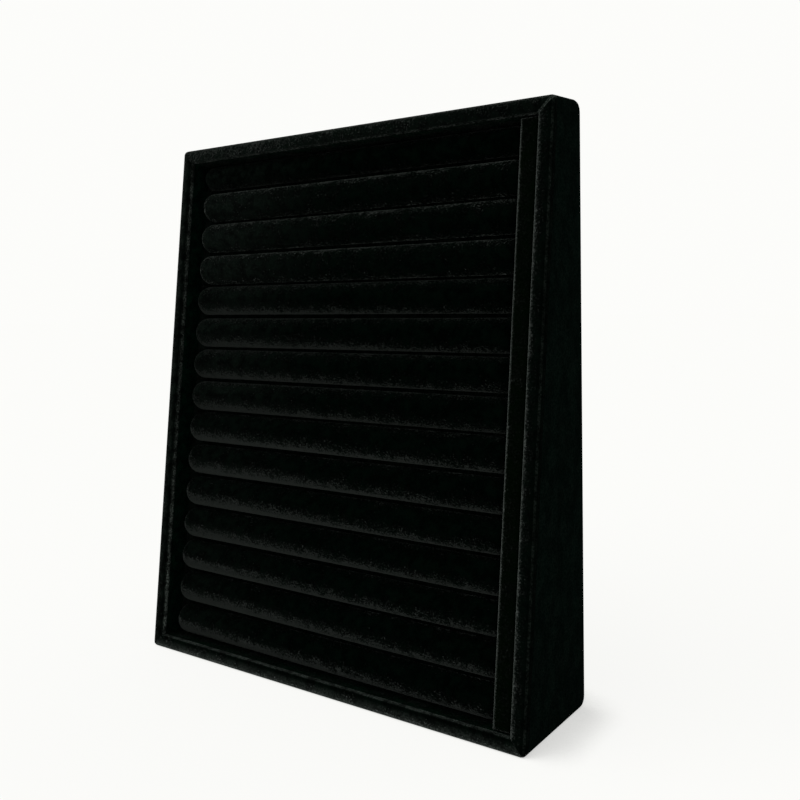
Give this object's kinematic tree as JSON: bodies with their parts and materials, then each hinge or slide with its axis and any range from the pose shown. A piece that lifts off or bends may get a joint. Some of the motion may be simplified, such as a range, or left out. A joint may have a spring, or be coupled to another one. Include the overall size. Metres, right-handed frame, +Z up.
{
  "type": "jewelry display stand",
  "caption": "Wedge-shaped velvet stand with a leaning front, a padded mitred rim and a lift-out insert of half-round rolls that hold rings in the slots between them.",
  "frame": {"origin": "middle of the footprint, on the surface that the stand rests on", "axes": "+Z up, -Y towards the person in front of the stand, +X to the right seen from the front; the front face leans back by 7 degrees"},
  "size_m": [0.25, 0.0659, 0.2991],
  "materials": {
    "case_velvet": "matte",
    "rim_velvet": "matte",
    "tray_velvet": "matte",
    "roll_velvet": "matte",
    "batten_velvet": "matte",
    "black_card": "matte",
    "foam": "matte"
  },
  "bodies": {
    "case": {"right_side_panel": "case_velvet", "left_side_panel": "case_velvet", "top_panel": "case_velvet", "base_panel": "case_velvet", "back_panel": "case_velvet", "rim_left": "rim_velvet", "rim_right": "rim_velvet", "rim_top": "rim_velvet", "rim_bottom": "rim_velvet", "tray_wall_left": "tray_velvet", "tray_wall_right": "tray_velvet", "tray_wall_top": "tray_velvet", "tray_wall_bottom": "tray_velvet", "tray_floor": "black_card"},
    "insert": {"insert_board": "black_card", "end_batten": "batten_velvet", "roll_core_01": "foam", "roll_core_02": "foam", "roll_core_03": "foam", "roll_core_04": "foam", "roll_core_05": "foam", "roll_core_06": "foam", "roll_core_07": "foam", "roll_core_08": "foam", "roll_core_09": "foam", "roll_core_10": "foam", "roll_core_11": "foam", "roll_core_12": "foam", "roll_core_13": "foam", "roll_core_14": "foam", "roll_core_15": "foam", "roll_cover_01": "roll_velvet", "roll_cover_02": "roll_velvet", "roll_cover_03": "roll_velvet", "roll_cover_04": "roll_velvet", "roll_cover_05": "roll_velvet", "roll_cover_06": "roll_velvet", "roll_cover_07": "roll_velvet", "roll_cover_08": "roll_velvet", "roll_cover_09": "roll_velvet", "roll_cover_10": "roll_velvet", "roll_cover_11": "roll_velvet", "roll_cover_12": "roll_velvet", "roll_cover_13": "roll_velvet", "roll_cover_14": "roll_velvet", "roll_cover_15": "roll_velvet"}
  },
  "joints": [
    {"name": "insert_lift", "type": "slide", "parent": "case", "child": "insert", "axis": [0, -0.9925, 0.1219], "range_m": [0, 0.03]}
  ]
}
